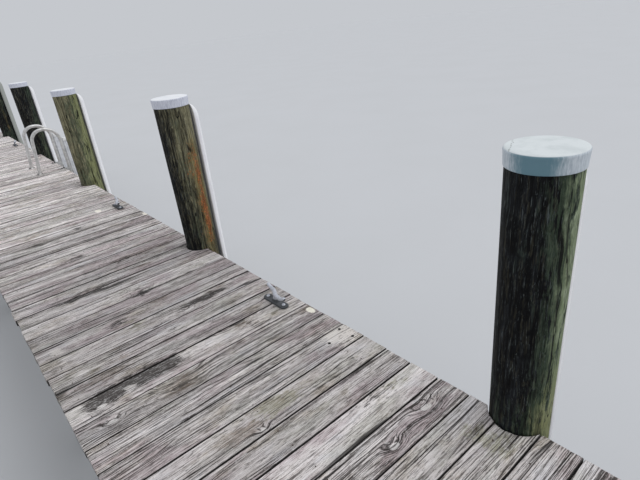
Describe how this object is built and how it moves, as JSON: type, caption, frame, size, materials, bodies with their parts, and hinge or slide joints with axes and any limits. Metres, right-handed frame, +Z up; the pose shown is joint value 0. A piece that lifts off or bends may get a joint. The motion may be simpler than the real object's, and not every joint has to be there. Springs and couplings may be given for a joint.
{
  "type": "wooden jetty",
  "caption": "Straight wooden jetty along a bank: boarded deck on stringers and cross beams, tall capped piles with bumper strips, cleats and a boarding ladder.",
  "frame": {"origin": "centre of the bounding box's bottom, at the waterline where the piles are cut off", "axes": "+X along the jetty, +Y from the water side to the land side, +Z up"},
  "size_m": [15.0608, 1.4272, 2.094],
  "materials": {
    "pile_wood": "round treated pine log, nearly black to olive, with moss and streaks",
    "cap_plastic": "moulded white plastic, weathered, bluish on the skirt",
    "strip_vinyl": "white extruded vinyl, slightly soiled",
    "deck_wood": "weathered grey deck boards with open grain, knots and dark stains",
    "frame_wood": "treated sawn planks, greyed brown",
    "galvanized_steel": "hot-dip galvanized, dull grey",
    "ladder_aluminium": "plain aluminium, dull",
    "end_cap_plastic": "white moulded plastic"
  },
  "bodies": {
    "root": {"water_pile_1": "pile_wood", "water_pile_2": "pile_wood", "water_pile_3": "pile_wood", "water_pile_4": "pile_wood", "water_pile_5": "pile_wood", "water_pile_6": "pile_wood", "water_pile_7": "pile_wood", "pile_cap_1": "cap_plastic", "pile_cap_2": "cap_plastic", "pile_cap_3": "cap_plastic", "pile_cap_4": "cap_plastic", "pile_cap_5": "cap_plastic", "pile_cap_6": "cap_plastic", "pile_cap_7": "cap_plastic", "bumper_strip_1": "strip_vinyl", "bumper_strip_2": "strip_vinyl", "bumper_strip_3": "strip_vinyl", "bumper_strip_4": "strip_vinyl", "bumper_strip_5": "strip_vinyl", "bumper_strip_6": "strip_vinyl", "bumper_strip_7": "strip_vinyl", "cross_beams_1": "frame_wood", "cross_beams_2": "frame_wood", "cross_beams_3": "frame_wood", "cross_beams_4": "frame_wood", "cross_beams_5": "frame_wood", "cross_beams_6": "frame_wood", "cross_beams_7": "frame_wood", "deck_bay_1": "deck_wood", "deck_bay_2": "deck_wood", "deck_bay_3": "deck_wood", "deck_bay_4": "deck_wood", "deck_bay_5": "deck_wood", "deck_bay_6": "deck_wood", "outer_stringer": "frame_wood", "middle_stringer": "frame_wood", "inner_stringer": "frame_wood", "land_piles": "pile_wood", "mooring_cleats": "galvanized_steel", "ladder_rail_near": "ladder_aluminium", "ladder_rail_far": "ladder_aluminium", "ladder_stiles": "ladder_aluminium", "ladder_end_caps": "end_cap_plastic", "ladder_treads": "ladder_aluminium", "ladder_brackets": "ladder_aluminium"}
  },
  "joints": []
}
